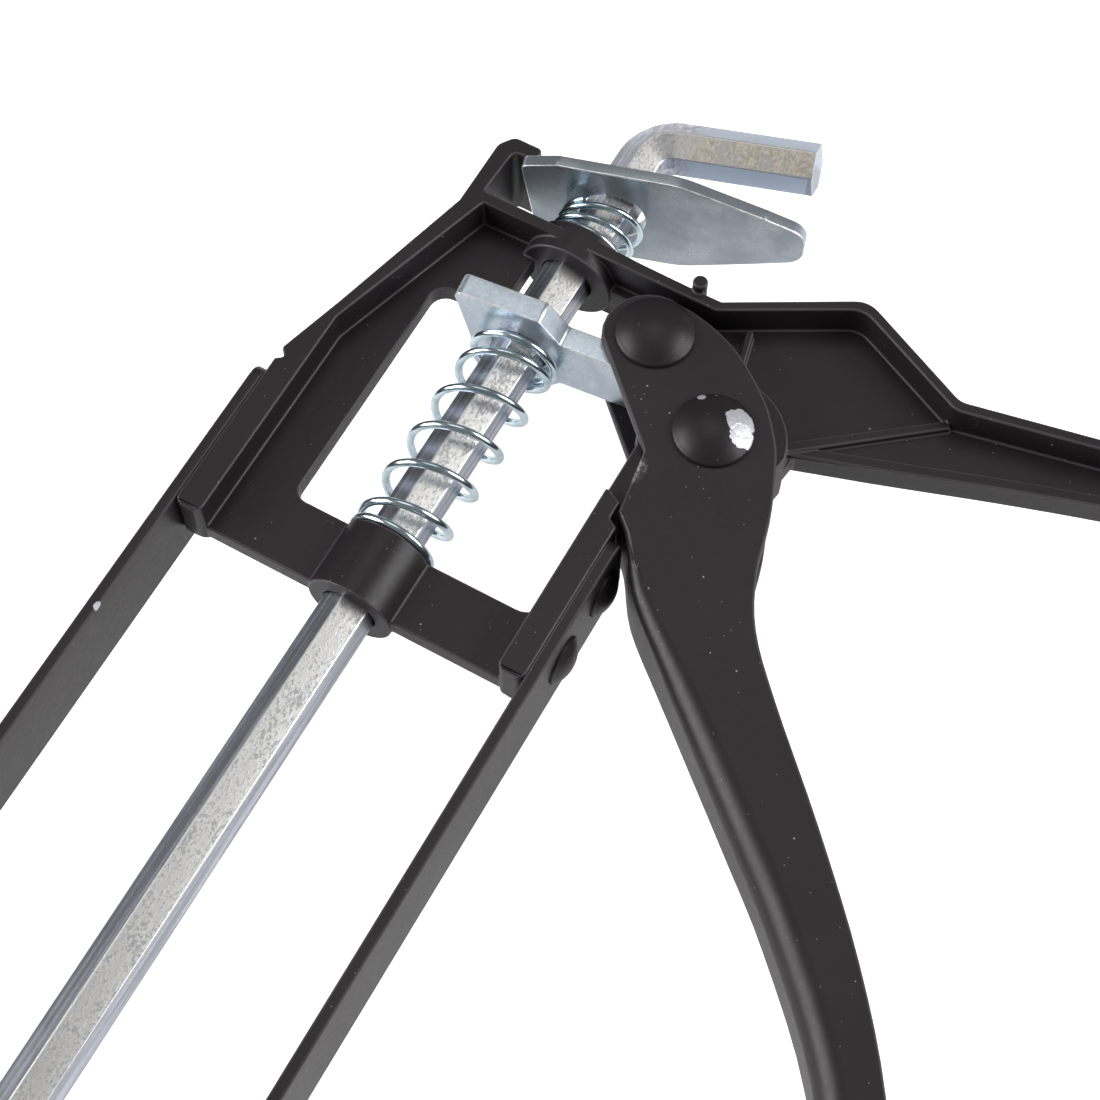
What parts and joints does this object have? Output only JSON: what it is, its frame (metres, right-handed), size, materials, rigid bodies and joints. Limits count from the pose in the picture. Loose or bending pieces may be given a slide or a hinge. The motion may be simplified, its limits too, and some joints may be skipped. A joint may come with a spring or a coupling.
{
  "type": "caulking gun",
  "caption": "Open-frame caulking gun: a hexagonal hooked push rod driven by a trigger and gripping plate, in a cast handle with a strap cradle.",
  "frame": {"origin": "on the push rod's axis, in the plane of the front bar's front face where the cartridge's rear rim seats", "axes": "+X along the push rod towards the nozzle plate, +Y towards the handle and trigger, +Z across the gun, which lies on its side"},
  "size_m": [0.3215, 0.1528, 0.043],
  "materials": {
    "black_coat": "satin black powder coat, lighter along the edges",
    "chipped_rivet": "satin black coat, chipped to bright zinc",
    "rod_zinc": "mottled bright zinc plating",
    "plate_zinc": "smooth zinc plating, slightly blue",
    "spring_zinc": "bright zinc-plated spring wire"
  },
  "bodies": {
    "frame": {"handle_casting": "black_coat", "left_rail": "black_coat", "right_rail": "black_coat", "left_rail_rivets": "black_coat", "right_rail_rivets": "black_coat", "nozzle_plate": "black_coat", "left_tab_rivets": "black_coat", "right_tab_rivets": "black_coat", "pivot_rivet": "chipped_rivet", "return_spring": "spring_zinc", "catch_spring": "spring_zinc"},
    "rod": {"push_rod": "rod_zinc", "push_plate": "plate_zinc", "plate_washer": "plate_zinc", "plate_nut": "plate_zinc"},
    "lever": {"trigger": "black_coat", "drive_pin": "chipped_rivet"},
    "drive": {"drive_plate": "plate_zinc"},
    "catch": {"catch_plate": "plate_zinc"}
  },
  "joints": [
    {"name": "trigger_hinge", "type": "hinge", "parent": "frame", "child": "lever", "pos_m": [-0.0449, 0.0322, 0], "axis": [0, 0, 1], "range_deg": [0, 40], "stiffness_Nm_per_rad": 0.6, "springref_deg": -8.59},
    {"name": "drive_plate_slide", "type": "slide", "parent": "frame", "child": "drive", "axis": [1, 0, 0], "range_m": [0, 0.012], "stiffness_N_per_m": 200, "springref_m": -0.003, "deforming": ["return_spring"]},
    {"name": "rod_slide", "type": "slide", "parent": "frame", "child": "rod", "axis": [1, 0, 0], "range_m": [-0.195, 0.003]},
    {"name": "catch_hinge", "type": "hinge", "parent": "frame", "child": "catch", "pos_m": [-0.07258, -0.0118, 0], "axis": [0, 0, -1], "range_deg": [0, 12], "stiffness_Nm_per_rad": 0.1, "springref_deg": -28.65, "deforming": ["catch_spring"]}
  ],
  "couplings": [
    {"joint": "drive_plate_slide", "follows": "trigger_hinge", "m_per_rad": 0.0164}
  ]
}
